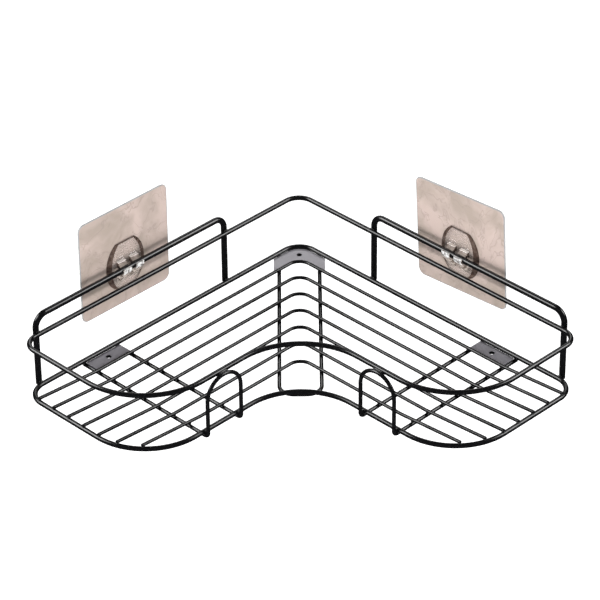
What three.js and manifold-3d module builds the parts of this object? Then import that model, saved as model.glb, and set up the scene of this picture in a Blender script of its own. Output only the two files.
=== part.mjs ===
// Corner shower caddy: a V-shaped shelf of welded wire, hung from two clip-over hooks on adhesive wall pads.
// Units are millimetres, +Z is up, and +Y points into the corner of the room.
//
// The shelf is laid out from its own corner: ALONG a wall, OUT from that wall into the room, and UP from the
// centreline of the base rim. Each wall has its own group, turned 45 degrees, in which +Y points at the wall.

import * as THREE from 'three';
import { mergeVertices } from 'three/addons/utils/BufferGeometryUtils.js';
import Module from 'manifold-3d';

const wasm = await Module();
wasm.setup();

// Overall sizes
const ARM_LENGTH = 300;        // rim centreline, from the corner to the end of an arm, along the wall
const ARM_DEPTH = 135;         // rim centreline, from the wall side of an arm to its room side
const GUARD_HEIGHT = 46.5;     // guard rail centreline above the base rim centreline

// Wire diameters
const RIM_WIRE = 4;
const FRAME_WIRE = 5;
const SHELF_WIRE = 2.8;
const LOOP_WIRE = 3.2;
const WELD_GAP = 0.2;          // between two wires that are welded together

// Bend radii of the rims, to the wire's centreline. The two at the front leave a straight run for the arch.
const BASE_BENDS = { corner: 16.5, armBack: 19, armFront: 52, inside: 54 };
const GUARD_BENDS = { corner: 14, armBack: 14, armFront: 60.5, inside: 60.5 };

// Shelf floor wires
const SHELF_WIRE_COUNT = 7;
const SHELF_CORNER_BEND = 11;
const SHELF_LIFT_LENGTH = 60;  // the stretch of a floor wire's end that rises onto the base rim
const SHELF_LIFT_BEND = 60;
const SHELF_END_OVERHANG = 1;  // past the rim's centreline

// Arch loops: two cross wires under the floor of each arm, joined by an arch in front of the rims
const ARCH_OFFSET = 3;         // arch's centre past the middle of the run in front of it
const ARCH_SPAN = 35;          // between the two legs
const ARCH_DROP = 1;           // arch top below the guard rail, centre to centre

// Centre loop: a hairpin under the floor at the corner
const CENTRE_SPAN = 32.8;
const CENTRE_BEND = 11.5;
const CENTRE_SETBACK = 1.5;    // closed end behind the centreline of the base rim's inside bend
const LOOP_END_OVERHANG = 1;   // past the rear rim's centreline

// Back frames
const FRAME_NEAR_POST = 80.5;  // along the wall
const FRAME_END_INSET = 18.5;  // far post from the end of the arm
const FRAME_RISE = 12.9;       // top bar above the guard rail, centre to centre
const FRAME_BEND = 10;
const FRAME_FOOT = 2;          // cut end of a post below the base rim's centreline

// Plates between the rear rim and the first floor wire
const PLATE_THICKNESS = 1.2;
const PLATE_RIM_CLEARANCE = 0.05;
const PLATE_WIRE_CLEARANCE = 0.3;
const PLATE_OVERHANG = 0;      // side plate's end past the centre of the cross wire under it
const PLATE_CORNER = 1;
const CORNER_PLATE_WIDTH = 41.8;
const PLATE_HOLE = 4.5;
const CORNER_COLLAR = 2.4;     // edge of the hole, drawn down below the sheet
const SIDE_COLLAR = 1.6;
const COLLAR_WALL = 0.8;

// Wall pads. Each film is fused to its clip by hand, so it can sit a little out of square.
const PADS = [
  { name: 'left', side: -1, along: 181.3, tilt: 0 },
  { name: 'right', side: 1, along: 167.3, tilt: THREE.MathUtils.degToRad(3.3) },
];
const PAD_WIDTH = 93;
const PAD_HEIGHT = 89;
const PAD_CORNER = 6;
const PAD_RISE = 8.5;          // centre of the pad above the top bar
const FILM_THICKNESS = 0.8;
const ADHESIVE_THICKNESS = 1;
const ADHESIVE_MARGIN = 0.5;   // film past the edge of the adhesive
const LAYER_GAP = 0.2;         // between the clip, the film and the adhesive

// Hook clips, measured from the axis of the top bar
const BAR_CLEARANCE = 0.3;
const BOSS_SETBACK = 5.1;      // face of the boss behind the bar's axis
const BOSS_THICKNESS = 1.7;
const BOSS_TOP = { up: 21, half: 10 };
const BOSS_WAIST = { up: -1, half: 20.3 };
const BOSS_FOOT = { up: -20.5, half: 10.5 };
const BOSS_TAPER = 0.77;       // width of the boss's face over the width of its back
const JAW_WIDTH = 8;
const JAW_SPACING = 13;        // centre to centre
const JAW_TOP = 6;
const JAW_REACH = 2.7;         // past the face of the boss
const JAW_ROUND = 0.9;
const NUB_START = Math.PI * 8 / 9;   // angles round the bar that the nub covers, from the room side
const NUB_END = Math.PI * 11 / 18;
const NUB_HEIGHT = 0.8;
const LIP_WALL = 1.2;
const LIP_TOP = 2.6;
const GUSSET_TOP = -Math.PI / 4;     // angle round the bar where the gusset leaves the lip
const GUSSET_FOOT = 14;        // where the gusset under a lip meets the boss, below the bar's axis

const BEND_STEP = Math.PI / 16;
const THICK_WIRE_SIDES = 12;
const THIN_WIRE_SIDES = 8;
const HOLE_SIDES = 16;

// Sizes that follow
const rimRadius = RIM_WIRE / 2;
const frameRadius = FRAME_WIRE / 2;
const shelfRadius = SHELF_WIRE / 2;
const loopRadius = LOOP_WIRE / 2;
const shelfPitch = ARM_DEPTH / (SHELF_WIRE_COUNT + 1);
const loopLevel = -(rimRadius + WELD_GAP + loopRadius);
const shelfLevel = loopLevel + loopRadius + WELD_GAP + shelfRadius;
const shelfEndLevel = rimRadius + WELD_GAP + shelfRadius;
const frameSetback = rimRadius + WELD_GAP + frameRadius;
const barLevel = GUARD_HEIGHT + FRAME_RISE;
const frameFarPost = ARM_LENGTH - FRAME_END_INSET;
const archCentre = (ARM_LENGTH + ARM_DEPTH) / 2 + ARCH_OFFSET;
const frontBendRoom = (ARM_LENGTH - ARM_DEPTH - ARCH_SPAN) / 2 - ARCH_OFFSET;
const baseBends = fitFrontBends(BASE_BENDS);
const guardBends = fitFrontBends(GUARD_BENDS);

function fitFrontBends(bends) {
  const armFront = Math.min(bends.armFront, frontBendRoom);
  const inside = Math.min(bends.inside, frontBendRoom);
  return { ...bends, armFront, inside };
}

const materials = {
  wire: { color: 0x0b0b0c, roughness: 0.28, metalness: 0.2 },
  plate: { color: 0x6c6970, roughness: 0.4, metalness: 0.5 },
  clip: { color: 0xcfc9c4, roughness: 0.12, metalness: 0 },
  film: { color: 0xc8b9b2, roughness: 0.45, metalness: 0 },
  adhesive: { color: 0xe4e4e2, roughness: 0.3, metalness: 0 },
};

function namedMesh(name, geometry, finish) {
  const mesh = new THREE.Mesh(geometry, new THREE.MeshStandardMaterial(materials[finish]));
  mesh.name = name;
  return mesh;
}

/** Point in the shelf's frame, for the wall on the given side: -1 is left and +1 is right. */
function cornerPoint(side, along, out, up = 0) {
  return new THREE.Vector3(side * (along - out), -(along + out), up / Math.SQRT1_2).multiplyScalar(Math.SQRT1_2);
}

/** Point in a wall's own group, where +Y points at the wall. */
function wallLocal(side, along, out, up = 0) {
  return new THREE.Vector3(side * along, -out, up);
}

// ---------------------------------------------------------------------------------------------- bent wires

/** Rings of a bent wire: straight between the corners, with an arc of the given radius at each of them. */
function bentRings(corners, closed = false) {
  const rings = [];
  const addRing = (point, tangent) => {
    const last = rings.at(-1);
    if (!last || last.point.distanceTo(point) > 1e-6) rings.push({ point, tangent });
  };
  corners.forEach(({ point, bend = 0 }, i) => {
    const before = closed ? corners.at(i - 1) : corners[i - 1];
    const after = closed ? corners[(i + 1) % corners.length] : corners[i + 1];
    if (!before || !after) {
      const tangent = before ? point.clone().sub(before.point) : after.point.clone().sub(point);
      addRing(point, tangent.normalize());
      return;
    }
    const arriving = point.clone().sub(before.point).normalize();
    const leaving = after.point.clone().sub(point).normalize();
    const turn = arriving.angleTo(leaving);
    const axis = arriving.clone().cross(leaving).normalize();
    const start = point.clone().addScaledVector(arriving, -bend * Math.tan(turn / 2));
    const centre = start.clone().addScaledVector(axis.clone().cross(arriving), bend);
    const steps = 2 * Math.max(1, Math.round(turn / BEND_STEP / 2));
    for (let k = 0; k <= steps; k += 1) {
      const angle = turn * k / steps;
      const spoke = start.clone().sub(centre).applyAxisAngle(axis, angle);
      addRing(spoke.add(centre), arriving.clone().applyAxisAngle(axis, angle));
    }
  });
  return rings;
}

/** Centreline of a bent wire, sampled only at its rings, so that straight runs stay a single step. */
class WirePath extends THREE.Curve {
  constructor(rings, closed = false) {
    super();
    this.rings = rings;
    this.steps = closed ? rings.length : rings.length - 1;
  }

  ringAt(u) {
    return this.rings[Math.round(u * this.steps) % this.rings.length];
  }

  getPointAt(u, target = new THREE.Vector3()) {
    return target.copy(this.ringAt(u).point);
  }

  getTangentAt(u, target = new THREE.Vector3()) {
    return target.copy(this.ringAt(u).tangent);
  }
}

function roundSection(radius, sides) {
  const corners = Array.from({ length: sides }, (_, k) => {
    const angle = 2 * Math.PI * k / sides;
    return new THREE.Vector2(radius * Math.cos(angle), radius * Math.sin(angle));
  });
  return new THREE.Shape(corners);
}

function openWire(corners, diameter, sides) {
  const path = new WirePath(bentRings(corners));
  return new THREE.ExtrudeGeometry(roundSection(diameter / 2, sides), { steps: path.steps, extrudePath: path });
}

function closedWire(corners, diameter, sides) {
  const path = new WirePath(bentRings(corners, true), true);
  return new THREE.TubeGeometry(path, path.steps, diameter / 2, sides, true);
}

// ------------------------------------------------------------------------------------------ rims and floor

/** Closed V-shaped rim at the given height. */
function rimGeometry(bends, up) {
  const corners = [
    { point: cornerPoint(1, 0, 0, up), bend: bends.corner },
    { point: cornerPoint(1, ARM_LENGTH, 0, up), bend: bends.armBack },
    { point: cornerPoint(1, ARM_LENGTH, ARM_DEPTH, up), bend: bends.armFront },
    { point: cornerPoint(1, ARM_DEPTH, ARM_DEPTH, up), bend: bends.inside },
    { point: cornerPoint(-1, ARM_LENGTH, ARM_DEPTH, up), bend: bends.armFront },
    { point: cornerPoint(-1, ARM_LENGTH, 0, up), bend: bends.armBack },
  ];
  return closedWire(corners, RIM_WIRE, THICK_WIRE_SIDES);
}

/** How far along the wall the base rim's arm end is, at a given distance out from the wall. */
function armEndAlong(out) {
  const { armBack, armFront } = baseBends;
  const backRise = Math.max(0, armBack - out);
  const frontRise = Math.max(0, out - (ARM_DEPTH - armFront));
  const backTrim = armBack - Math.sqrt(armBack ** 2 - backRise ** 2);
  const frontTrim = armFront - Math.sqrt(armFront ** 2 - frontRise ** 2);
  return ARM_LENGTH - backTrim - frontTrim;
}

/** Floor wire that runs parallel to both walls, with its two ends resting on the base rim. */
function shelfWireGeometry(out) {
  const end = armEndAlong(out);
  const lift = end - SHELF_LIFT_LENGTH;
  const slope = (shelfEndLevel - shelfLevel) / SHELF_LIFT_LENGTH;
  const tip = shelfEndLevel + slope * SHELF_END_OVERHANG;
  const corners = [
    { point: cornerPoint(-1, end + SHELF_END_OVERHANG, out, tip) },
    { point: cornerPoint(-1, lift, out, shelfLevel), bend: SHELF_LIFT_BEND },
    { point: cornerPoint(1, out, out, shelfLevel), bend: SHELF_CORNER_BEND },
    { point: cornerPoint(1, lift, out, shelfLevel), bend: SHELF_LIFT_BEND },
    { point: cornerPoint(1, end + SHELF_END_OVERHANG, out, tip) },
  ];
  return openWire(corners, SHELF_WIRE, THIN_WIRE_SIDES);
}

/** Hairpin under the floor at the corner, closed under the inside bend of the base rim. */
function centreLoopGeometry() {
  const half = CENTRE_SPAN / 2;
  const front = -(ARM_DEPTH + baseBends.inside) * Math.SQRT2 + baseBends.inside + CENTRE_SETBACK;
  const back = -half + LOOP_END_OVERHANG;
  const corners = [
    { point: new THREE.Vector3(half, back, loopLevel) },
    { point: new THREE.Vector3(half, front, loopLevel), bend: CENTRE_BEND },
    { point: new THREE.Vector3(-half, front, loopLevel), bend: CENTRE_BEND },
    { point: new THREE.Vector3(-half, back, loopLevel) },
  ];
  return openWire(corners, LOOP_WIRE, THIN_WIRE_SIDES);
}

// --------------------------------------------------------------------------------------- pieces on a wall

/** Two cross wires that turn up in front of the rims and meet in an arch, in the wall's own frame. */
function archLoopGeometry(side) {
  const half = ARCH_SPAN / 2;
  const front = ARM_DEPTH + rimRadius + WELD_GAP + loopRadius;
  const top = GUARD_HEIGHT - ARCH_DROP;
  const footBend = front - ARM_DEPTH;
  const leg = (along) => [
    { point: wallLocal(side, along, -LOOP_END_OVERHANG, loopLevel) },
    { point: wallLocal(side, along, front, loopLevel), bend: footBend },
    { point: wallLocal(side, along, front, top), bend: half },
  ];
  const corners = [...leg(archCentre - half), ...leg(archCentre + half).reverse()];
  return openWire(corners, LOOP_WIRE, THIN_WIRE_SIDES);
}

/** Upside-down U whose top bar carries the hooks. */
function backFrameGeometry(side) {
  const corners = [
    { point: wallLocal(side, FRAME_NEAR_POST, -frameSetback, -FRAME_FOOT) },
    { point: wallLocal(side, FRAME_NEAR_POST, -frameSetback, barLevel), bend: FRAME_BEND },
    { point: wallLocal(side, frameFarPost, -frameSetback, barLevel), bend: FRAME_BEND },
    { point: wallLocal(side, frameFarPost, -frameSetback, -FRAME_FOOT) },
  ];
  return openWire(corners, FRAME_WIRE, THICK_WIRE_SIDES);
}

function toSolid(geometry) {
  const bare = geometry.clone();
  bare.deleteAttribute('normal');
  bare.deleteAttribute('uv');
  const merged = mergeVertices(bare, 1e-4);
  const vertProperties = new Float32Array(merged.attributes.position.array);
  const triVerts = new Uint32Array(merged.index.array);
  return new wasm.Manifold(new wasm.Mesh({ numProp: 3, vertProperties, triVerts }));
}

function fromSolid(solid) {
  const { vertProperties, triVerts } = solid.getMesh();
  const geometry = new THREE.BufferGeometry();
  geometry.setAttribute('position', new THREE.BufferAttribute(vertProperties, 3));
  geometry.setIndex(new THREE.BufferAttribute(triVerts, 1));
  return geometry;
}

/** Rectangle with rounded corners, centred on its middle. */
function roundedRectangle(width, height, corner) {
  const x = width / 2;
  const y = height / 2;
  const shape = new THREE.Shape();
  shape.moveTo(-x + corner, -y);
  shape.absarc(x - corner, -y + corner, corner, -Math.PI / 2, 0);
  shape.absarc(x - corner, y - corner, corner, 0, Math.PI / 2);
  shape.absarc(-x + corner, y - corner, corner, Math.PI / 2, Math.PI);
  shape.absarc(-x + corner, -y + corner, corner, Math.PI, 1.5 * Math.PI);
  return shape;
}

const plateNear = rimRadius + PLATE_RIM_CLEARANCE;
const plateFar = shelfPitch - shelfRadius - PLATE_WIRE_CLEARANCE;
const plateLevel = loopLevel + loopRadius + WELD_GAP;

function upright(shape, depth) {
  return new THREE.ExtrudeGeometry(shape, { depth, bevelEnabled: false, curveSegments: 6 });
}

/** Sheet with one round hole, whose edge is drawn down into a short collar. */
function collaredPlate(shape, holeY, depth) {
  const rod = (radius, from, to) => {
    return toSolid(upright(roundSection(radius, HOLE_SIDES), to - from).translate(0, holeY, from));
  };
  const collar = rod(PLATE_HOLE / 2 + COLLAR_WALL, -depth, PLATE_THICKNESS / 2);
  const bore = rod(PLATE_HOLE / 2, -2 * depth, 2 * PLATE_THICKNESS);
  return fromSolid(toSolid(upright(shape, PLATE_THICKNESS)).add(collar).subtract(bore));
}

function sidePlateGeometry() {
  const width = ARCH_SPAN + 2 * PLATE_OVERHANG;
  return collaredPlate(roundedRectangle(width, plateFar - plateNear, PLATE_CORNER), 0, SIDE_COLLAR);
}

/** Boomerang plate that follows the bend of the rear rim and of the first floor wire. */
function cornerPlateGeometry() {
  const reach = CORNER_PLATE_WIDTH * Math.SQRT1_2;
  const edge = (out, bend) => bentRings([
    { point: cornerPoint(-1, out + reach, out) },
    { point: cornerPoint(1, out, out), bend },
    { point: cornerPoint(1, out + reach, out) },
  ]).map(({ point }) => new THREE.Vector2(point.x, point.y));
  const backEdge = edge(plateNear, baseBends.corner - plateNear);
  const frontEdge = edge(plateFar, SHELF_CORNER_BEND + shelfPitch - plateFar);
  const shape = new THREE.Shape([...frontEdge, ...backEdge.reverse()]);
  const middle = (points) => points[(points.length - 1) / 2].y;
  return collaredPlate(shape, (middle(frontEdge) + middle(backEdge)) / 2, CORNER_COLLAR);
}

// ---------------------------------------------------------------------------------------------- wall pads
// A pad's group has its origin on the bar's axis: +X along the bar, +Y towards the wall, +Z up.

const clipBack = BOSS_SETBACK + BOSS_THICKNESS;
const filmFace = clipBack + LAYER_GAP;
const adhesiveFace = filmFace + FILM_THICKNESS + LAYER_GAP;

/** Slab standing parallel to the wall, from the given distance behind the bar's axis towards the wall. */
function standingSlab(shape, face, thickness) {
  const geometry = new THREE.ExtrudeGeometry(shape, { depth: thickness, bevelEnabled: false, curveSegments: 6 });
  return geometry.rotateX(Math.PI / 2).translate(0, face + thickness, 0);
}

function bossOutline() {
  const { half: topHalf, up: topUp } = BOSS_TOP;
  const { half: footHalf, up: footUp } = BOSS_FOOT;
  const { half: waistHalf, up: waistUp } = BOSS_WAIST;
  const topPull = topUp - (topUp - waistUp) * 0.35;
  const footPull = footUp + (waistUp - footUp) * 0.3;
  const shape = new THREE.Shape();
  shape.moveTo(-footHalf, footUp);
  shape.lineTo(footHalf, footUp);
  shape.quadraticCurveTo(waistHalf, footPull, waistHalf, waistUp);
  shape.quadraticCurveTo(waistHalf, topPull, topHalf, topUp);
  shape.lineTo(-topHalf, topUp);
  shape.quadraticCurveTo(-waistHalf, topPull, -waistHalf, waistUp);
  shape.quadraticCurveTo(-waistHalf, footPull, -footHalf, footUp);
  return shape;
}

/** The boss's slab, with its two flanks sloping in towards the face. */
function bossSlab() {
  const slab = standingSlab(bossOutline(), BOSS_SETBACK, BOSS_THICKNESS);
  const { position } = slab.attributes;
  for (let k = 0; k < position.count; k += 1) {
    const depth = (position.getY(k) - BOSS_SETBACK) / BOSS_THICKNESS;
    position.setX(k, position.getX(k) * THREE.MathUtils.lerp(BOSS_TAPER, 1, depth));
  }
  return slab;
}

/** Prism of a profile drawn as (distance into the room, height), running along the bar. */
function crossBarPrism(shape, centre) {
  const geometry = new THREE.ExtrudeGeometry(shape, { depth: JAW_WIDTH, bevelEnabled: false, curveSegments: 6 });
  const intoRoom = new THREE.Vector3(0, -1, 0);
  const upward = new THREE.Vector3(0, 0, 1);
  const alongBar = intoRoom.clone().cross(upward);
  geometry.applyMatrix4(new THREE.Matrix4().makeBasis(intoRoom, upward, alongBar));
  return geometry.translate(centre + JAW_WIDTH / 2, 0, 0);
}

/** Upper jaw: a block behind the bar with a rounded top, and a nub that snaps over the top of the bar. */
function jawProfile(root) {
  const bore = frameRadius + BAR_CLEARANCE;
  const tip = -BOSS_SETBACK + JAW_REACH;
  const shape = new THREE.Shape();
  shape.moveTo(root, bore * Math.sin(NUB_START));
  shape.lineTo(bore * Math.cos(NUB_START), bore * Math.sin(NUB_START));
  shape.absarc(0, 0, bore, NUB_START, NUB_END, true);
  shape.lineTo(bore * Math.cos(NUB_END), bore + NUB_HEIGHT);
  shape.lineTo(tip, bore + 2 * NUB_HEIGHT);
  shape.lineTo(tip, JAW_TOP - JAW_ROUND);
  shape.quadraticCurveTo(tip, JAW_TOP, tip - JAW_ROUND, JAW_TOP);
  shape.lineTo(root, JAW_TOP);
  return shape;
}

/** Lower lip: a J that passes under the bar and comes up in front of it, on a gusset. */
function lipProfile(root) {
  const bore = frameRadius + BAR_CLEARANCE;
  const outer = bore + LIP_WALL;
  const shape = new THREE.Shape();
  shape.moveTo(root, -GUSSET_FOOT);
  shape.lineTo(-BOSS_SETBACK, -GUSSET_FOOT);
  shape.lineTo(outer * Math.cos(GUSSET_TOP), outer * Math.sin(GUSSET_TOP));
  shape.absarc(0, 0, outer, GUSSET_TOP, 0);
  shape.lineTo(outer, LIP_TOP);
  shape.lineTo(bore, LIP_TOP);
  shape.absarc(0, 0, bore, 0, -Math.PI / 2, true);
  shape.lineTo(root, -bore);
  return shape;
}

/** Clear moulded clip: a shield-shaped boss with two jaws above the bar and two lips below it. */
function clipGeometry() {
  const root = -BOSS_SETBACK - BOSS_THICKNESS / 2;
  let clip = toSolid(bossSlab());
  for (const side of [-1, 1]) {
    const centre = side * JAW_SPACING / 2;
    clip = clip.add(toSolid(crossBarPrism(jawProfile(root), centre)));
    clip = clip.add(toSolid(crossBarPrism(lipProfile(root), centre)));
  }
  return fromSolid(clip);
}

function padGroup({ name, side, along, tilt }) {
  const film = roundedRectangle(PAD_WIDTH, PAD_HEIGHT, PAD_CORNER);
  const inset = 2 * ADHESIVE_MARGIN;
  const adhesive = roundedRectangle(PAD_WIDTH - inset, PAD_HEIGHT - inset, PAD_CORNER);
  const backing = new THREE.Group();
  backing.position.z = PAD_RISE;
  backing.rotation.y = -tilt;
  backing.add(namedMesh(`${name}_pad_film`, standingSlab(film, filmFace, FILM_THICKNESS), 'film'));
  const adhesiveGeometry = standingSlab(adhesive, adhesiveFace, ADHESIVE_THICKNESS);
  backing.add(namedMesh(`${name}_adhesive_layer`, adhesiveGeometry, 'adhesive'));

  const pad = new THREE.Group();
  pad.position.copy(wallLocal(side, along, -frameSetback, barLevel));
  pad.add(namedMesh(`${name}_hook_clip`, clipGeometry(), 'clip'), backing);
  return pad;
}

// ---------------------------------------------------------------------------------------------- the shelf

const caddy = new THREE.Group();
caddy.add(namedMesh('base_rim', rimGeometry(baseBends, 0), 'wire'));
caddy.add(namedMesh('guard_rail', rimGeometry(guardBends, GUARD_HEIGHT), 'wire'));
for (let k = 1; k <= SHELF_WIRE_COUNT; k += 1) {
  caddy.add(namedMesh(`shelf_wire_${k}`, shelfWireGeometry(k * shelfPitch), 'wire'));
}
caddy.add(namedMesh('centre_loop', centreLoopGeometry(), 'wire'));

const cornerPlate = namedMesh('corner_plate', cornerPlateGeometry(), 'plate');
cornerPlate.position.z = plateLevel;
caddy.add(cornerPlate);

for (const placement of PADS) {
  const { name, side } = placement;
  const wall = new THREE.Group();
  wall.rotation.z = -side * Math.PI / 4;
  wall.add(namedMesh(`${name}_back_frame`, backFrameGeometry(side), 'wire'));
  wall.add(namedMesh(`${name}_arch_loop`, archLoopGeometry(side), 'wire'));
  wall.add(padGroup(placement));

  const plate = namedMesh(`${name}_plate`, sidePlateGeometry(), 'plate');
  plate.position.copy(wallLocal(side, archCentre, (plateNear + plateFar) / 2, plateLevel));
  wall.add(plate);
  caddy.add(wall);
}

// The origin is under the middle of the caddy, on the surface that the loops under the floor would stand on.
caddy.updateMatrixWorld(true);
const extent = new THREE.Box3().setFromObject(caddy, true);
const middle = extent.getCenter(new THREE.Vector3());
caddy.position.set(-middle.x, -middle.y, -extent.min.z);

export default caddy;
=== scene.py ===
import math

import bmesh
import bpy
import numpy as np
from mathutils import Matrix, Vector


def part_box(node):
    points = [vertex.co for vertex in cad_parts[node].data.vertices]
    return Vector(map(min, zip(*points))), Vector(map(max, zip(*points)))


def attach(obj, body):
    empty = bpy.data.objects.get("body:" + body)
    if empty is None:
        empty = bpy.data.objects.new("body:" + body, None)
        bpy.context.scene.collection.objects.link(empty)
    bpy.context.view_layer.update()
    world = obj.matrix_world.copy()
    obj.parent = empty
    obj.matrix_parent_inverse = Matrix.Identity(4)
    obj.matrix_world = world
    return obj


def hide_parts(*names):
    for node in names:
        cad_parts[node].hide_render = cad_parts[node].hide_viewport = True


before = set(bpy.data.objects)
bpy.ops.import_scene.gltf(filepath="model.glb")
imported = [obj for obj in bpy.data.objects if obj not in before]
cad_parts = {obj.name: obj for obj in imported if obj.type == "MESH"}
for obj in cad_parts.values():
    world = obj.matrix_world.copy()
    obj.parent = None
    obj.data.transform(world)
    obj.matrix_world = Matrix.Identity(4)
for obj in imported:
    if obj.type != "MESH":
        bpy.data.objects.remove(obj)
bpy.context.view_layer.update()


# Corner shower caddy: a V-shaped shelf of welded, coated wire that hangs on two clip-over hooks with pads.


# ---------------------------------------------------------------------------------- base rim and guard rail
# Two closed rims of 4 mm steel wire, each bent to the V of the shelf and butt-welded into a ring. The shelf
# hangs on them: every other wire is spot-welded to one or both, and the whole is then coated gloss black.

MM = 0.001
ARM_LENGTH = 300 * MM            # rim centreline, from the corner to the end of an arm, along the wall
ARM_DEPTH = 135 * MM             # rim centreline, from the wall side of an arm to its room side
GUARD_HEIGHT = 46.5 * MM         # guard rail above the base rim, centre to centre
RIM_RADIUS = 2 * MM
BASE_BENDS = {"corner": 16.5 * MM, "arm_back": 19 * MM, "arm_front": 52 * MM, "inside": 54 * MM}
GUARD_BENDS = {"corner": 14 * MM, "arm_back": 14 * MM, "arm_front": 60.5 * MM, "inside": 60.5 * MM}
BEND_STEP = math.pi / 48
WIRE_SIDES = 28
CUT_ROUNDING = 0.5 * MM          # coating round the rim of a cut wire end
CUT_RINGS = 6
SAME_PLACE = 1e-7                # points of a path closer than this are one

rim_low, rim_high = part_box("base_rim")
corner_drop = BASE_BENDS["corner"] * (math.sqrt(2) - 1)
shelf_corner = np.array([0.0, rim_high.y + corner_drop - RIM_RADIUS, (rim_low.z + rim_high.z) / 2])


def at_wall(side, along, out, up=0.0):
    """Point by its distance along a wall from the corner, out from that wall, and up from the base rim's
    centreline; side is -1 for the left wall and 1 for the right: x = side*(along - out)/sqrt 2 and
    y = -(along + out)/sqrt 2."""
    along, out, up = np.broadcast_arrays(along, out, up)
    across = side * (along - out) * math.sqrt(0.5)
    forward = -(along + out) * math.sqrt(0.5)
    return shelf_corner + np.stack([across, forward, up], axis=-1)


def unit(vectors):
    """Vectors divided by their lengths."""
    return vectors / np.linalg.norm(vectors, axis=-1, keepdims=True)


def bent_path(corners, bends, closed=False):
    """Centreline of a bent wire and its directions. At a corner with bend b and turn a, the arc starts
    b*tan(a/2) before the corner, and its points are centre + b*(sin t * arriving - cos t * inward)."""
    corners = np.asarray(corners, float)
    arriving = unit(corners - np.roll(corners, 1, axis=0))
    leaving = np.roll(arriving, -1, axis=0)
    points, directions = [], []
    for i, bend in enumerate(bends):
        at_end = not closed and i in (0, len(bends) - 1)
        if at_end:
            points.append(corners[i:i + 1])
            directions.append((leaving if i == 0 else arriving)[i:i + 1])
            continue
        turn = math.acos(np.clip(arriving[i] @ leaving[i], -1, 1))
        inward = unit(leaving[i] - arriving[i] * (arriving[i] @ leaving[i]))
        centre = corners[i] - arriving[i] * bend * math.tan(turn / 2) + inward * bend
        steps = 2 * max(1, round(turn / BEND_STEP / 2)) + 1
        t = np.linspace(0, turn, steps)[:, None]
        points.append(centre + bend * (np.sin(t) * arriving[i] - np.cos(t) * inward))
        directions.append(np.cos(t) * arriving[i] + np.sin(t) * inward)
    points, directions = np.concatenate(points), np.concatenate(directions)
    fresh = np.linalg.norm(np.diff(points, axis=0), axis=1) > SAME_PLACE
    keep = np.concatenate([[True], fresh])
    return points[keep], directions[keep]


def wire_rings(path, radius, reference, closed=False):
    """Round wire along a path: point + r*(cos v * side + sin v * top), where side is the direction crossed
    with a fixed reference. A cut end has rings of radius r - e + e*sin p at the distance e*(1 - cos p)."""
    points, directions = path
    radii = np.full(len(points), radius)
    if not closed:
        p = np.linspace(0, math.pi / 2, CUT_RINGS)
        rim_radii = radius - CUT_ROUNDING * (1 - np.sin(p))
        inset = (CUT_ROUNDING * (1 - np.cos(p)))[:, None]
        head = points[0] + inset * directions[0]
        tail = (points[-1] - inset * directions[-1])[::-1]
        points = np.concatenate([head, points[1:-1], tail])
        radii = np.concatenate([rim_radii, radii[1:-1], rim_radii[::-1]])
        first = np.repeat(directions[:1], CUT_RINGS, axis=0)
        last = np.repeat(directions[-1:], CUT_RINGS, axis=0)
        directions = np.concatenate([first, directions[1:-1], last])
    side = unit(np.cross(directions, reference))[:, None]
    top = unit(np.cross(side[:, 0], directions))[:, None]
    v = np.linspace(0, 2 * math.pi, WIRE_SIDES, endpoint=False)[None, :, None]
    return points[:, None] + radii[:, None, None] * (np.cos(v) * side + np.sin(v) * top)


def ring_faces(rings, looped=False, finish=0, end_finish=0):
    """Points, faces and finishes of a surface given as rows of closed rings. Neighbouring rings are joined
    by quads. The end rings are each closed by one flat face, or joined to each other. Faces are turned to
    point out. A finish is the number of a material, for all the quads or for each row and column of them."""
    rows, columns = rings.shape[:2]
    index = np.arange(rows * columns).reshape(rows, columns)
    low = index if looped else index[:-1]
    high = np.roll(index, -1, axis=0) if looped else index[1:]
    quads = np.stack([low, np.roll(low, -1, 1), np.roll(high, -1, 1), high], axis=-1).reshape(-1, 4)
    points = rings.reshape(-1, 3)
    middle = points.mean(axis=0)
    a, b, c, d = (points[quads[:, k]] - middle for k in range(4))
    volume = np.einsum("ij,ij->", a, np.cross(b, c)) + np.einsum("ij,ij->", a, np.cross(c, d))
    ends = [] if looped else [index[0][::-1].tolist(), index[-1].tolist()]
    faces = quads.tolist() + ends
    finishes = np.broadcast_to(finish, low.shape).reshape(-1).tolist() + [end_finish] * len(ends)
    return points, [face[::-1] for face in faces] if volume < 0 else faces, finishes


def add_piece(name, shells, *materials, sharp_angle=40):
    """Mesh object of one or more closed shells, smooth but for the edges sharper than the given angle."""
    offsets = np.cumsum([0] + [len(points) for points, _, _ in shells])
    points = np.concatenate([points for points, _, _ in shells])
    faces = [[int(i + o) for i in face] for (_, faces, _), o in zip(shells, offsets) for face in faces]
    mesh = bpy.data.meshes.new(name)
    mesh.from_pydata(points.tolist(), [], faces)
    mesh.polygons.foreach_set("material_index", [number for _, _, finishes in shells for number in finishes])
    mesh.shade_smooth()
    mesh.set_sharp_from_angle(angle=math.radians(sharp_angle))
    for material in materials:
        mesh.materials.append(material)
    piece = bpy.data.objects.new(name, mesh)
    bpy.context.scene.collection.objects.link(piece)
    return piece


def new_material(name, **constants):
    """Material with a Principled shader whose sockets hold the given constants; _ in a name is a space."""
    material = bpy.data.materials.new(name)
    material.use_nodes = True
    shader = material.node_tree.nodes["Principled BSDF"]
    for socket, value in constants.items():
        shader.inputs[socket.replace("_", " ")].default_value = value
    return material


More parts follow.
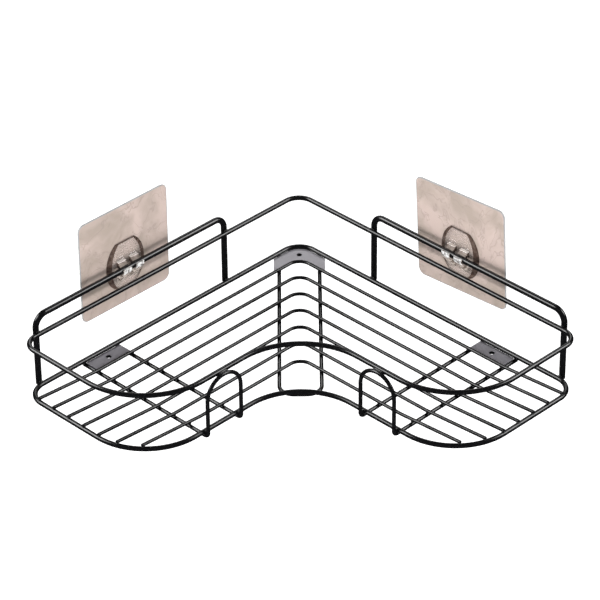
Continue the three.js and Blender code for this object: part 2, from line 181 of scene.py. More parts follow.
def add_node(material, kind, inputs=None, **settings):
    """Node with its inputs set, or linked where the value is another node's output."""
    node = material.node_tree.nodes.new(kind)
    for setting, value in settings.items():
        setattr(node, setting, value)
    for socket, value in (inputs or {}).items():
        if isinstance(value, bpy.types.NodeSocket):
            material.node_tree.links.new(value, node.inputs[socket])
        else:
            node.inputs[socket].default_value = value
    return node


def object_noise(material, size, detail=3.0, roughness=0.5):
    """Noise over Object coordinates, whose largest blotches are about the given size in metres."""
    place = add_node(material, "ShaderNodeTexCoord").outputs["Object"]
    inputs = {"Vector": place, "Scale": 1 / size, "Detail": detail, "Roughness": roughness}
    return add_node(material, "ShaderNodeTexNoise", inputs).outputs["Fac"]


def remap(material, value, low, high, start=0.3, stop=0.7):
    """Value from start..stop carried onto low..high, and held there outside it."""
    inputs = {"Value": value, "From Min": start, "From Max": stop, "To Min": low, "To Max": high}
    return add_node(material, "ShaderNodeMapRange", inputs).outputs["Result"]


def tint(material, value, first, second):
    """Colour between two colours, by a value from 0 to 1."""
    mix = add_node(material, "ShaderNodeMix", data_type="RGBA")
    mix.inputs["A"].default_value = (*first, 1)
    mix.inputs["B"].default_value = (*second, 1)
    material.node_tree.links.new(value, mix.inputs["Factor"])
    return mix.outputs["Result"]


def connect(material, **links):
    """Links outputs of nodes to sockets of the material's shader."""
    shader = material.node_tree.nodes["Principled BSDF"]
    for socket, output in links.items():
        material.node_tree.links.new(output, shader.inputs[socket.replace("_", " ")])


def bump(material, height, distance):
    """Normal of a surface raised by a height from 0 to 1 times the given distance in metres."""
    inputs = {"Height": height, "Distance": distance, "Strength": 1.0}
    return add_node(material, "ShaderNodeBump", inputs).outputs["Normal"]


def coated_black(name, gloss, smooth, rough):
    """Dipped coating on wire: near black, with slow orange peel, dull patches and specks of dust."""
    material = new_material(name, Specular_IOR_Level=gloss)
    patches = object_noise(material, 14 * MM)
    specks = object_noise(material, 0.9 * MM, detail=1)
    peel = object_noise(material, 2.2 * MM, detail=2)
    dust = remap(material, specks, 0, 1, 0.66, 0.72)
    connect(
        material,
        Base_Color=tint(material, dust, (0.003, 0.003, 0.0035), (0.014, 0.014, 0.014)),
        Roughness=remap(material, patches, smooth, rough),
        Normal=bump(material, peel, 0.014 * MM),
    )
    return material


wire_coating = coated_black("coated_black", 0.4, 0.16, 0.24)


def rim_piece(node, bends, up):
    """Closed rim round the V of the shelf: along both walls, round the arm ends and the inside bend."""
    corners = np.array([
        at_wall(1, 0, 0, up), at_wall(1, ARM_LENGTH, 0, up), at_wall(1, ARM_LENGTH, ARM_DEPTH, up),
        at_wall(1, ARM_DEPTH, ARM_DEPTH, up), at_wall(-1, ARM_LENGTH, ARM_DEPTH, up),
        at_wall(-1, ARM_LENGTH, 0, up),
    ])
    order = ["corner", "arm_back", "arm_front", "inside", "arm_front", "arm_back"]
    path = bent_path(corners, [bends[name] for name in order], closed=True)
    rings = wire_rings(path, RIM_RADIUS, (0, 0, 1), closed=True)
    return add_piece(f"{node}_coated", [ring_faces(rings, looped=True)], wire_coating)


def settle(piece, body, slot, *nodes):
    """Piece that moves with a body and stands for CAD nodes, which are hidden. The slot is not used."""
    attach(piece, body)
    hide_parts(*nodes)


settle(rim_piece("base_rim", BASE_BENDS, 0), "shelf", "coated_wire", "base_rim")
settle(rim_piece("guard_rail", GUARD_BENDS, GUARD_HEIGHT), "shelf", "coated_wire", "guard_rail")


# ------------------------------------------------------------------------------------------- arch loops
# One 3.2 mm wire per arm: two cross wires under the floor that hook round the front of the base rim and
# rise to a round arch. The arch's crown is welded to the guard rail, and it holds the two rims apart.

WELD_GAP = 0.2 * MM
LOOP_RADIUS = 1.6 * MM
LOOP_END_OVERHANG = 1 * MM       # past the rear rim's centreline
ARCH_CENTRE = 220.5 * MM         # along the wall
ARCH_HALF_SPAN = 17.5 * MM
ARCH_DROP = 1 * MM               # crown below the guard rail, centre to centre

loop_level = -(RIM_RADIUS + WELD_GAP + LOOP_RADIUS)
arch_front = ARM_DEPTH - loop_level
arch_top = GUARD_HEIGHT - ARCH_DROP
leg_places = ARCH_CENTRE + np.array([-1, 1]) * ARCH_HALF_SPAN


def arch_corners(side, along, rear_first):
    """Corners of one leg: under the floor from the rear, round the base rim's front, up to the crown."""
    leg = [
        at_wall(side, along, -LOOP_END_OVERHANG, loop_level),
        at_wall(side, along, arch_front, loop_level),
        at_wall(side, along, arch_front, arch_top),
    ]
    return leg if rear_first else leg[::-1]


for name, side in (("left", -1), ("right", 1)):
    corners = arch_corners(side, leg_places[0], True) + arch_corners(side, leg_places[1], False)
    foot_bend = -loop_level
    bends = [0, foot_bend, ARCH_HALF_SPAN, ARCH_HALF_SPAN, foot_bend, 0]
    path = bent_path(corners, bends)
    # A line midway between along and out, so that no stretch of the loop runs along it.
    reference = at_wall(side, 1, 1) - at_wall(side, 0, 0)
    loop = add_piece(f"{name}_arch_loop_coated", [ring_faces(wire_rings(path, LOOP_RADIUS, reference))],
                     wire_coating)
    settle(loop, "shelf", "coated_wire", f"{name}_arch_loop")


# ------------------------------------------------------------------------------------------- centre loop
# A hairpin of the same wire under the floor at the corner. It ties the floor wires together there, and its
# closed end is welded under the inside bend of the base rim.

CENTRE_HALF_SPAN = 16.4 * MM
CENTRE_BEND = 11.5 * MM
CENTRE_SETBACK = 1.5 * MM        # closed end behind the centreline of the base rim's inside bend

inside_bend_middle = -(ARM_DEPTH + BASE_BENDS["inside"]) * math.sqrt(2) + BASE_BENDS["inside"]
centre_front = inside_bend_middle + CENTRE_SETBACK
centre_back = -CENTRE_HALF_SPAN + LOOP_END_OVERHANG
hairpin = shelf_corner + np.array([
    [CENTRE_HALF_SPAN, centre_back, loop_level], [CENTRE_HALF_SPAN, centre_front, loop_level],
    [-CENTRE_HALF_SPAN, centre_front, loop_level], [-CENTRE_HALF_SPAN, centre_back, loop_level],
])
hairpin_rings = wire_rings(bent_path(hairpin, [0, CENTRE_BEND, CENTRE_BEND, 0]), LOOP_RADIUS, (0, 0, 1))
centre_loop = add_piece("centre_loop_coated", [ring_faces(hairpin_rings)], wire_coating)
settle(centre_loop, "shelf", "coated_wire", "centre_loop")


# ------------------------------------------------------------------------------------------- floor wires
# Seven 2.8 mm wires bent at the corner, parallel to the walls. They lie on the loops between the rims, and
# each end is cropped just past the base rim and rises a little, to rest on it.

FLOOR_RADIUS = 1.4 * MM
FLOOR_WIRE_COUNT = 7
FLOOR_CORNER_BEND = 11 * MM
FLOOR_LIFT_LENGTH = 60 * MM      # the stretch of an end that rises onto the base rim
FLOOR_LIFT_BEND = 60 * MM
FLOOR_END_OVERHANG = 1 * MM

floor_coating = coated_black("thinly_coated_black", 0.38, 0.2, 0.3)
floor_pitch = ARM_DEPTH / (FLOOR_WIRE_COUNT + 1)
floor_level = loop_level + LOOP_RADIUS + WELD_GAP + FLOOR_RADIUS
floor_end_level = RIM_RADIUS + WELD_GAP + FLOOR_RADIUS
floor_slope = (floor_end_level - floor_level) / FLOOR_LIFT_LENGTH


def arm_end(out):
    """How far along the wall the base rim's end run is: the arm's length less b - sqrt(b*b - d*d) within a
    bend b, where d is how far out has gone into that bend."""
    back, front = BASE_BENDS["arm_back"], BASE_BENDS["arm_front"]
    into_back = np.maximum(0, back - out)
    into_front = np.maximum(0, out - (ARM_DEPTH - front))
    trim = back - np.sqrt(back**2 - into_back**2) + front - np.sqrt(front**2 - into_front**2)
    return ARM_LENGTH - trim


for number in range(1, FLOOR_WIRE_COUNT + 1):
    out = number * floor_pitch
    end = arm_end(out)
    tip_level = floor_end_level + floor_slope * FLOOR_END_OVERHANG
    tips = [at_wall(side, end + FLOOR_END_OVERHANG, out, tip_level) for side in (-1, 1)]
    lifts = [at_wall(side, end - FLOOR_LIFT_LENGTH, out, floor_level) for side in (-1, 1)]
    corners = [tips[0], lifts[0], at_wall(1, out, out, floor_level), lifts[1], tips[1]]
    path = bent_path(corners, [0, FLOOR_LIFT_BEND, FLOOR_CORNER_BEND, FLOOR_LIFT_BEND, 0])
    rings = wire_rings(path, FLOOR_RADIUS, (0, 0, 1))
    wire = add_piece(f"shelf_wire_{number}_coated", [ring_faces(rings)], floor_coating)
    settle(wire, "shelf", "coated_wire", f"shelf_wire_{number}")


# ------------------------------------------------------------------------------------------- back frames
# One upside-down U of 5 mm wire behind each arm, welded to the backs of both rims. Its top bar stands above
# the guard rail and carries the hooks.

FRAME_RADIUS = 2.5 * MM
FRAME_POSTS = np.array([80.5, 281.5]) * MM       # along the wall
FRAME_RISE = 12.9 * MM           # top bar above the guard rail, centre to centre
FRAME_BEND = 10 * MM
FRAME_FOOT = 2 * MM              # cut end of a post below the base rim's centreline

frame_setback = RIM_RADIUS + WELD_GAP + FRAME_RADIUS
bar_level = GUARD_HEIGHT + FRAME_RISE

for name, side in (("left", -1), ("right", 1)):
    near, far = FRAME_POSTS
    corners = [
        at_wall(side, near, -frame_setback, -FRAME_FOOT), at_wall(side, near, -frame_setback, bar_level),
        at_wall(side, far, -frame_setback, bar_level), at_wall(side, far, -frame_setback, -FRAME_FOOT),
    ]
    path = bent_path(corners, [0, FRAME_BEND, FRAME_BEND, 0])
    outward = at_wall(side, 0, 1) - at_wall(side, 0, 0)
    rings = wire_rings(path, FRAME_RADIUS, outward)
    back_frame = add_piece(f"{name}_back_frame_coated", [ring_faces(rings)], wire_coating)
    settle(back_frame, "shelf", "coated_wire", f"{name}_back_frame")


# ------------------------------------------------------------------------------------------------- welds
# Wires are pressed together and spot-welded where they cross, which leaves a small nugget under the coating.
# A frame post, an arch's crown and its hooked foot have longer ones, and the base rim shows its butt joint.

NUGGET_ROWS = 7
NUGGET_COLUMNS = 12
NUGGET_POLE = 0.12 * math.pi     # angle from the axis to the edge of a flat pole
BUTT_JOINT = 70 * MM             # along the left wall

# Half sizes along the wall, out from it and up
FLOOR_ON_LEG = np.array([1.5, 1.5, 0.9]) * MM
FLOOR_ON_HAIRPIN = np.array([1.4, 1.4, 0.7]) * MM
FLOOR_ON_RIM = np.array([1.5, 1.3, 0.8]) * MM
LOOP_UNDER_RIM = np.array([1.7, 1.6, 0.7]) * MM
LEG_UNDER_RIM = np.array([1.7, 1.8, 0.7]) * MM
LEG_BEFORE_RIM = np.array([1.7, 0.7, 1.8]) * MM
CROWN_ON_RAIL = np.array([6.5, 0.9, 1.5]) * MM
POST_BEHIND_RIM = np.array([2.1, 0.8, 1.9]) * MM
BUTT_WELD = np.array([1.3, 2.2, 2.2]) * MM
HAIRPIN_END = np.array([5, 1.2, 0.6]) * MM

under_rim = -(RIM_RADIUS + WELD_GAP / 2)


def wall_axes(side):
    """Directions along a wall, out from it and up, as rows."""
    return np.array([at_wall(side, 1, 0), at_wall(side, 0, 1), at_wall(side, 0, 0, 1)]) - at_wall(side, 0, 0)


def nugget_shells(centres, axes, half_sizes):
    """Closed ellipsoids: centre + a*cos u*sin w * x + b*sin u*sin w * y + c*cos w * z, for all the centres
    at once, between two small flat poles. axes holds the three directions and half_sizes a, b and c."""
    w = np.linspace(NUGGET_POLE, math.pi - NUGGET_POLE, NUGGET_ROWS)[:, None]
    u = np.linspace(0, 2 * math.pi, NUGGET_COLUMNS, endpoint=False)[None]
    ball = np.stack([np.cos(u) * np.sin(w), np.sin(u) * np.sin(w), np.cos(w) * np.ones_like(u)], axis=-1)
    offsets = (ball * half_sizes) @ np.asarray(axes)
    return [ring_faces(centre + offsets) for centre in np.atleast_2d(centres)]


welds = []
outs = np.arange(1, FLOOR_WIRE_COUNT + 1) * floor_pitch
for side in (-1, 1):
    axes = wall_axes(side)
    # Floor wires on the two cross wires, on the centre loop and on the base rim
    for leg in leg_places:
        lift = floor_slope * np.maximum(0, leg - (arm_end(outs) - FLOOR_LIFT_LENGTH))
        welds += nugget_shells(at_wall(side, leg, outs, under_rim + lift / 2), axes, FLOOR_ON_LEG)
    hairpin_cross = outs + CENTRE_HALF_SPAN * math.sqrt(2)
    welds += nugget_shells(at_wall(side, hairpin_cross, outs, under_rim), axes, FLOOR_ON_HAIRPIN)
    welds += nugget_shells(at_wall(side, arm_end(outs), outs, -under_rim), axes, FLOOR_ON_RIM)
    # Loops under the rims, and the hooked feet in front of the base rim
    loop_places = np.append(leg_places, CENTRE_HALF_SPAN * math.sqrt(2))
    welds += nugget_shells(at_wall(side, loop_places, 0, under_rim), axes, LOOP_UNDER_RIM)
    welds += nugget_shells(at_wall(side, leg_places, ARM_DEPTH, under_rim), axes, LEG_UNDER_RIM)
    welds += nugget_shells(at_wall(side, leg_places, ARM_DEPTH - under_rim, 0), axes, LEG_BEFORE_RIM)
    # Crown of the arch on the guard rail, and posts behind both rims
    crown = at_wall(side, ARCH_CENTRE, ARM_DEPTH - under_rim, GUARD_HEIGHT - ARCH_DROP / 2)
    welds += nugget_shells(crown, axes, CROWN_ON_RAIL)
    for level in (0, GUARD_HEIGHT):
        welds += nugget_shells(at_wall(side, FRAME_POSTS, under_rim, level), axes, POST_BEHIND_RIM)
welds += nugget_shells(at_wall(-1, BUTT_JOINT, 0, 0), wall_axes(-1), BUTT_WELD)
loop_end = shelf_corner + np.array([0, inside_bend_middle, under_rim])
welds += nugget_shells(loop_end, np.eye(3), HAIRPIN_END)

weld_nuggets = add_piece("weld_nuggets", welds, wire_coating, sharp_angle=80)
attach(weld_nuggets, "shelf")


# ------------------------------------------------------------------------------------------------ plates
# Three plates of 1.2 mm sheet, welded on the loops between the rear rim and the first floor wire: a
# boomerang in the corner and a small rectangle above each arch. Each has one screw hole, whose edge is
# drawn down to a collar.

PLATE_THICKNESS = 1.2 * MM
PLATE_RIM_CLEARANCE = 0.05 * MM
PLATE_WIRE_CLEARANCE = 0.3 * MM
PLATE_CORNER = 1 * MM
PLATE_EDGE = 0.25 * MM           # roundness of a coated edge
CORNER_PLATE_WIDTH = 41.8 * MM
HOLE_RADIUS = 2.25 * MM
CORNER_COLLAR = 2.4 * MM         # edge of the hole drawn down below the sheet
SIDE_COLLAR = 1.6 * MM
COLLAR_WALL = 0.8 * MM

SHEET_FACE, HOLE_WALL = range(2)    # finishes

plate_near = RIM_RADIUS + PLATE_RIM_CLEARANCE
plate_far = floor_pitch - FLOOR_RADIUS - PLATE_WIRE_CLEARANCE
plate_bottom = loop_level + LOOP_RADIUS + WELD_GAP


def rounded_rectangle(width, height, corner, per_corner=10, per_side=6):
    """Outline of a rectangle with round corners, centred on 0, 0: four arcs, and points along the sides."""
    t = np.linspace(0, math.pi / 2, per_corner)
    arc = np.stack([np.cos(t), np.sin(t)], axis=-1) * corner
    middles = np.array([[1, 1], [-1, 1], [-1, -1], [1, -1]]) * (width / 2 - corner, height / 2 - corner)
    turns = np.array([[[1, 0], [0, 1]], [[0, 1], [-1, 0]], [[-1, 0], [0, -1]], [[0, -1], [1, 0]]])
    arcs = middles[:, None] + np.einsum("pk,ckj->cpj", arc, turns)
    share = np.linspace(0, 1, per_side + 1, endpoint=False)[1:, None]
    runs = arcs[:, -1:] + share * (np.roll(arcs, -1, axis=0)[:, :1] - arcs[:, -1:])
    return np.concatenate([arcs, runs], axis=1).reshape(-1, 2)


def inset(outline, distance):
    """Outline moved inwards by a distance, each point along the normal between its two neighbours."""
    along = unit(np.roll(outline, -1, axis=0) - np.roll(outline, 1, axis=0))
    inward = np.stack([-along[:, 1], along[:, 0]], axis=-1)
    area = np.sum(outline[:, 0] * np.roll(outline[:, 1], -1) - np.roll(outline[:, 0], -1) * outline[:, 1])
    return outline + inward * distance * np.sign(area)


def edge_profile(rounding, thickness, steps=5):
    """Inset and depth of the rings over a rounded edge, from the back face to the front face: a quarter
    circle at each face, with the wall between them."""
    t = np.linspace(0, math.pi / 2, steps)
    back = np.stack([1 - np.sin(t), 1 - np.cos(t)], axis=-1) * rounding
    front = back[::-1] * (1, -1) + (0, thickness)
    return np.concatenate([back, front])


def collared_sheet(outline, hole, bottom, depth):
    """Closed sheet with a round hole, as rings round the hole: over the outer edge from the bottom face to
    the top, over the hole's edge, down inside its collar and up outside it. A ring's k-th point lies
    towards the outline's k-th."""
    edge = edge_profile(PLATE_EDGE, PLATE_THICKNESS)
    spoke = unit(outline - hole)
    lip = edge[len(edge) // 2:][::-1] + (HOLE_RADIUS, 0)
    outer = HOLE_RADIUS + COLLAR_WALL
    collar = [(HOLE_RADIUS, -depth), (outer, -depth), (outer, 0)]
    flats = [(inset(outline, step), level) for step, level in edge]
    flats += [(hole + spoke * radius, level) for radius, level in [*lip, *collar]]
    rings = [np.column_stack([flat, np.full(len(flat), bottom + level)]) for flat, level in flats]
    finish = np.full((len(rings), 1), SHEET_FACE)
    finish[len(edge) + len(lip) - 1:-2] = HOLE_WALL
    return ring_faces(np.array(rings), looped=True, finish=finish)


def coated_sheet(name, light, dark):
    """Thin satin coating on sheet steel, clouded by polishing between the two tones given, with a fine
    rolling grain. The tones carry painted reflection, each plate's grey set by the light it reflects.
    """
    material = new_material(name, Metallic=0.35, Specular_IOR_Level=0.5)
    clouds = object_noise(material, 9 * MM, detail=4)
    grain = object_noise(material, 0.5 * MM, detail=2)
    connect(
        material,
        Base_Color=tint(material, remap(material, clouds, 0, 1), dark, light),
        Roughness=remap(material, clouds, 0.34, 0.46),
        Normal=bump(material, grain, 0.012 * MM),
    )
    return material


def corner_edge(out, bend):
    """Long edge of the corner plate: a distance out from both walls, bent at the corner."""
    reach = CORNER_PLATE_WIDTH * math.sqrt(0.5)
    corners = [at_wall(-1, out + reach, out), at_wall(1, out, out), at_wall(1, out + reach, out)]
    return bent_path(corners, [0, bend, 0])[0][:, :2]


back_edge = corner_edge(plate_near, BASE_BENDS["corner"] - plate_near)
front_edge = corner_edge(plate_far, FLOOR_CORNER_BEND + floor_pitch - plate_far)
boomerang = np.concatenate([front_edge, back_edge[::-1]])
boomerang_hole = (front_edge[len(front_edge) // 2] + back_edge[len(back_edge) // 2]) / 2
sheet_level = shelf_corner[2] + plate_bottom
# Painted reflection: the corner plate is coloured a light grey for the bright light its satin coating
# reflects.
corner_painted_reflection_coating = coated_sheet("coated_corner_sheet_painted_reflection", (0.31, 0.30, 0.32), (0.24, 0.23, 0.25))
corner_sheet = collared_sheet(boomerang, boomerang_hole, sheet_level, CORNER_COLLAR)
corner_plate = add_piece("corner_plate_coated", [corner_sheet], corner_painted_reflection_coating, wire_coating)
settle(corner_plate, "shelf", "plate_steel", "corner_plate")

# Painted reflection: the side plates are coloured a darker grey for the dimmer light they reflect, though
# their coating is the same.
side_painted_reflection_coating = coated_sheet("coated_side_sheet_painted_reflection", (0.16, 0.155, 0.17), (0.11, 0.105, 0.12))
for name, side in (("left", -1), ("right", 1)):
    blank = rounded_rectangle(2 * ARCH_HALF_SPAN, plate_far - plate_near, PLATE_CORNER)
    middle_out = (plate_near + plate_far) / 2
    outline = at_wall(side, ARCH_CENTRE + blank[:, 0], middle_out + blank[:, 1])[:, :2]
    hole = at_wall(side, ARCH_CENTRE, middle_out)[:2]
    side_sheet = collared_sheet(outline, hole, sheet_level, SIDE_COLLAR)
    plate = add_piece(f"{name}_plate_coated", [side_sheet], side_painted_reflection_coating, wire_coating)
    settle(plate, "shelf", "plate_steel", f"{name}_plate")


# --------------------------------------------------------------------------------------------- wall pads
# Each hook has a square of printed film fused to its back, with a layer of clear adhesive gel that sticks
# to the tiles. The film bears a soft rose-beige marble print. The right one is fused on slightly turned.

PADS = (("left", -1, 181.3 * MM, 0.0), ("right", 1, 167.3 * MM, math.radians(3.3)))
PAD_WIDTH = 93 * MM
PAD_HEIGHT = 89 * MM
PAD_CORNER = 6 * MM
PAD_RISE = 8.5 * MM              # centre of the pad above the top bar
BOSS_SETBACK = 5.1 * MM          # face of the clip's boss behind the bar's axis
BOSS_THICKNESS = 1.7 * MM
FILM_THICKNESS = 0.8 * MM
ADHESIVE_THICKNESS = 1 * MM
ADHESIVE_MARGIN = 0.5 * MM       # film past the edge of the adhesive
LAYER_GAP = 0.2 * MM
BARE_RIM = 0.7 * MM              # unprinted rim round the film
FILM_EDGE = 0.2 * MM             # roundness of the edges
ADHESIVE_EDGE = 0.3 * MM

PAD_FACE, PAD_RIM = range(2)     # finishes

film_face = BOSS_SETBACK + BOSS_THICKNESS + LAYER_GAP
adhesive_face = film_face + FILM_THICKNESS + LAYER_GAP


def on_bar(side, along, across, behind, up):
    """Point measured from the top bar's axis at a hook: across is to the right as seen from the room, behind
    is towards the wall, and up is above the bar."""
    return at_wall(side, along + side * across, -(frame_setback + behind), bar_level + up)


def pad_sheet(placement, width, height, face, thickness, rounding):
    """Upright sheet behind a hook, turned about the pad's middle by its tilt: the outline carried from the
    back to the front over rounded edges, with one more ring where the rim meets the face."""
    _, side, along, tilt = placement
    turn = np.array([[math.cos(tilt), math.sin(tilt)], [-math.sin(tilt), math.cos(tilt)]])
    outline = rounded_rectangle(width, height, PAD_CORNER, per_corner=14) @ turn
    rings = []
    for step, depth in [*edge_profile(rounding, thickness), (BARE_RIM, thickness)]:
        flat = inset(outline, step)
        rings.append(on_bar(side, along, flat[:, 0], face + thickness - depth, flat[:, 1] + PAD_RISE))
    return ring_faces(np.array(rings), finish=PAD_RIM, end_finish=PAD_FACE)


def marbled_film():
    """Satin film with a printed marble: warm beige clouds, a taupe drift, and thin wandering veins."""
    material = new_material("marbled_film", Specular_IOR_Level=0.4)
    place = add_node(material, "ShaderNodeTexCoord").outputs["Object"]
    warp = add_node(material, "ShaderNodeTexNoise", {"Vector": place, "Scale": 1 / (45 * MM), "Detail": 3.0})
    bent = add_node(material, "ShaderNodeVectorMath", {0: warp.outputs["Color"], 1: (0.05, 0.05, 0.05)},
                    operation="MULTIPLY")
    moved = add_node(material, "ShaderNodeVectorMath", {0: place, 1: bent.outputs[0]}, operation="ADD")
    drift = add_node(material, "ShaderNodeTexNoise",
                     {"Vector": moved.outputs[0], "Scale": 1 / (30 * MM), "Detail": 4.0}).outputs["Fac"]
    veins = add_node(material, "ShaderNodeTexNoise",
                     {"Vector": moved.outputs[0], "Scale": 1 / (24 * MM), "Detail": 6.0, "Distortion": 1.2})
    away = add_node(material, "ShaderNodeMath", {0: veins.outputs["Fac"], 1: 0.5}, operation="SUBTRACT")
    off = add_node(material, "ShaderNodeMath", {0: away.outputs[0]}, operation="ABSOLUTE").outputs[0]
    cloud = remap(material, drift, 0, 1, 0.38, 0.62)
    clouds = tint(material, cloud, (0.43, 0.345, 0.312), (0.31, 0.257, 0.22))
    vein = remap(material, off, 0.75, 0, 0, 0.02)
    mix = add_node(material, "ShaderNodeMix", {"Factor": vein, "A": clouds}, data_type="RGBA")
    mix.inputs["B"].default_value = (0.27, 0.22, 0.195, 1)
    texture = object_noise(material, 0.8 * MM, detail=2)
    connect(
        material,
        Base_Color=mix.outputs["Result"],
        Roughness=remap(material, drift, 0.38, 0.52),
        Normal=bump(material, texture, 0.02 * MM),
    )
    return material


def adhesive_gel():
    """Pale, cloudy gel with trapped bubbles, tacky and slightly uneven."""
    material = new_material("adhesive_gel", Specular_IOR_Level=0.5)
    clouds = object_noise(material, 11 * MM, detail=3)
    place = add_node(material, "ShaderNodeTexCoord").outputs["Object"]
    cells = add_node(material, "ShaderNodeTexVoronoi", {"Vector": place, "Scale": 1 / (2.6 * MM)})
    bubbles = remap(material, cells.outputs["Distance"], 1, 0, 0.08, 0.2)
    connect(
        material,
        Base_Color=tint(material, remap(material, clouds, 0, 1), (0.66, 0.66, 0.64), (0.55, 0.55, 0.54)),
        Roughness=remap(material, clouds, 0.18, 0.32),
        Normal=bump(material, bubbles, 0.05 * MM),
    )
    return material


def bare_film():
    """Cut rim of the film where the print stops: cool grey and faintly hazy."""
    material = new_material("bare_film", Specular_IOR_Level=0.4)
    haze = object_noise(material, 3 * MM)
    connect(
        material,
        Base_Color=tint(material, remap(material, haze, 0, 1), (0.25, 0.255, 0.26), (0.31, 0.31, 0.31)),
        Roughness=remap(material, haze, 0.3, 0.42),
    )
    return material


film_print = marbled_film()
film_rim = bare_film()
gel = adhesive_gel()
for placement in PADS:
    name = placement[0]
    film_shell = pad_sheet(placement, PAD_WIDTH, PAD_HEIGHT, film_face, FILM_THICKNESS, FILM_EDGE)
    film = add_piece(f"{name}_pad_film_printed", [film_shell], film_print, film_rim)
    settle(film, f"{name}_pad", "printed_film", f"{name}_pad_film")
    gel_width = PAD_WIDTH - 2 * ADHESIVE_MARGIN
    gel_height = PAD_HEIGHT - 2 * ADHESIVE_MARGIN
    gel_shell = pad_sheet(placement, gel_width, gel_height, adhesive_face, ADHESIVE_THICKNESS, ADHESIVE_EDGE)
    layer = add_piece(f"{name}_adhesive_gel", [gel_shell], gel, gel)
    settle(layer, f"{name}_pad", "adhesive_gel", f"{name}_adhesive_layer")


# ------------------------------------------------------------------------------------------------- clips
# Clear moulded clips: a shield-shaped boss with sloping flanks, two jaws that snap over the top bar, and two
# J-shaped lips under it, each on a gusset. They are moulded in one shot, so the boss, jaws and lips are one.

BOSS_TOP = (21 * MM, 10 * MM)    # height and half width at the top edge
BOSS_WAIST = (-1 * MM, 20.3 * MM)
BOSS_FOOT = (-20.5 * MM, 10.5 * MM)
BOSS_TAPER = 0.77                # width of the boss's face over the width of its back
SHOULDER_PULL = 0.35             # pull point below the top, over the height from the waist to the top
HIP_PULL = 0.3                   # pull point above the foot, over the height from the foot to the waist
BOSS_EDGE = 0.4 * MM
BAR_CLEARANCE = 0.3 * MM
JAW_WIDTH = 8 * MM
JAW_SPACING = 13 * MM
JAW_TOP = 6 * MM
JAW_REACH = 2.7 * MM
JAW_ROUND = 0.9 * MM
JAW_EDGE = 0.35 * MM
NUB_START = math.pi * 8 / 9      # angles round the bar that the nub covers, from the room side
NUB_END = math.pi * 11 / 18
NUB_HEIGHT = 0.8 * MM
LIP_WALL = 1.2 * MM
LIP_TOP = 2.6 * MM
GUSSET_TOP = -math.pi / 4
GUSSET_FOOT = 14 * MM
SAME_CORNER = 0.001 * MM         # corners of a joined solid closer than this are one

# Finishes: flat faces, flanks painted dark as refraction, noses painted with glints, gussets painted with
# mottled refraction, and the fronts and tops of the jaws painted with light and highlight
CLEAR, DARK_PAINTED_REFRACTION, PAINTED_GLINTS, MOTTLED_PAINTED_REFRACTION, JAW_FRONT_PAINTED_LIGHT, JAW_TOP_PAINTED_HIGHLIGHT = range(6)

bore = FRAME_RADIUS + BAR_CLEARANCE
clip_root = -BOSS_SETBACK - BOSS_THICKNESS / 2


def swoop(start, pull, stop, steps=16):
    """Quadratic curve from start to stop, drawn towards the pull point, without its last point."""
    t = np.linspace(0, 1, steps, endpoint=False)[:, None]
    return (1 - t)**2 * np.array(start) + 2 * t * (1 - t) * np.array(pull) + t**2 * np.array(stop)


def arc(radius, start, stop, steps=14):
    """Points radius * (cos t, sin t) round the bar, from one angle to the other."""
    t = np.linspace(start, stop, steps)
    return np.stack([np.cos(t), np.sin(t)], axis=-1) * radius


def shield():
    """Outline of the boss, across and up: flat top and foot, joined by two curves on each side that meet at
    the waist, where the boss is widest."""
    (top, top_half), (waist, waist_half), (foot, foot_half) = BOSS_TOP, BOSS_WAIST, BOSS_FOOT
    top_pull = top - (top - waist) * SHOULDER_PULL
    foot_pull = foot + (waist - foot) * HIP_PULL
    right = np.concatenate([
        swoop((foot_half, foot), (waist_half, foot_pull), (waist_half, waist)),
        swoop((waist_half, waist), (waist_half, top_pull), (top_half, top)), [(top_half, top)],
    ])
    return np.concatenate([right, right[::-1] * (-1, 1)])


def boss_shell(side, along):
    """The shield carried from its back to its face, narrowing across in proportion to the depth, with the
    edges rounded."""
    rings = []
    for step, depth in edge_profile(BOSS_EDGE, BOSS_THICKNESS):
        flat = inset(shield(), step)
        narrow = 1 + (BOSS_TAPER - 1) * depth / BOSS_THICKNESS
        behind = BOSS_SETBACK + BOSS_THICKNESS - depth
        rings.append(on_bar(side, along, flat[:, 0] * narrow, behind, flat[:, 1]))
    # The flanks take the dark painted refraction; the back and the face stay clear.
    return ring_faces(np.array(rings), finish=DARK_PAINTED_REFRACTION)


def jaw_profile():
    """Block behind the bar with a round top, and a nub over the bar: into the room and up."""
    tip = -BOSS_SETBACK + JAW_REACH
    nub = arc(bore, NUB_START, NUB_END)
    crown = swoop((tip, JAW_TOP - JAW_ROUND), (tip, JAW_TOP), (tip - JAW_ROUND, JAW_TOP), 8)
    return np.concatenate([
        [(clip_root, nub[0, 1])], nub, [(nub[-1, 0], bore + NUB_HEIGHT), (tip, bore + 2 * NUB_HEIGHT)],
        crown, [(tip - JAW_ROUND, JAW_TOP), (tip - 2 * JAW_ROUND, JAW_TOP), (clip_root, JAW_TOP)],
    ])


def lip_profile():
    """J that passes under the bar and comes up in front of it, on a gusset: into the room and up."""
    outer = bore + LIP_WALL
    return np.concatenate([
        [(clip_root, -GUSSET_FOOT), (-BOSS_SETBACK, -GUSSET_FOOT)], arc(outer, GUSSET_TOP, 0),
        [(outer, LIP_TOP), (bore, LIP_TOP)], arc(bore, 0, -math.pi / 2), [(clip_root, -bore)],
    ])


def prism_shell(side, along, centre, profile, finish, end_finish):
    """Profile carried across the hook by the jaw's width, its two ends drawn in to a rounded edge."""
    rings = []
    for step, depth in edge_profile(JAW_EDGE, JAW_WIDTH, steps=4):
        flat = inset(profile, step)
        rings.append(on_bar(side, along, centre - JAW_WIDTH / 2 + depth, -flat[:, 0], flat[:, 1]))
    return ring_faces(np.array(rings), finish=finish, end_finish=end_finish)


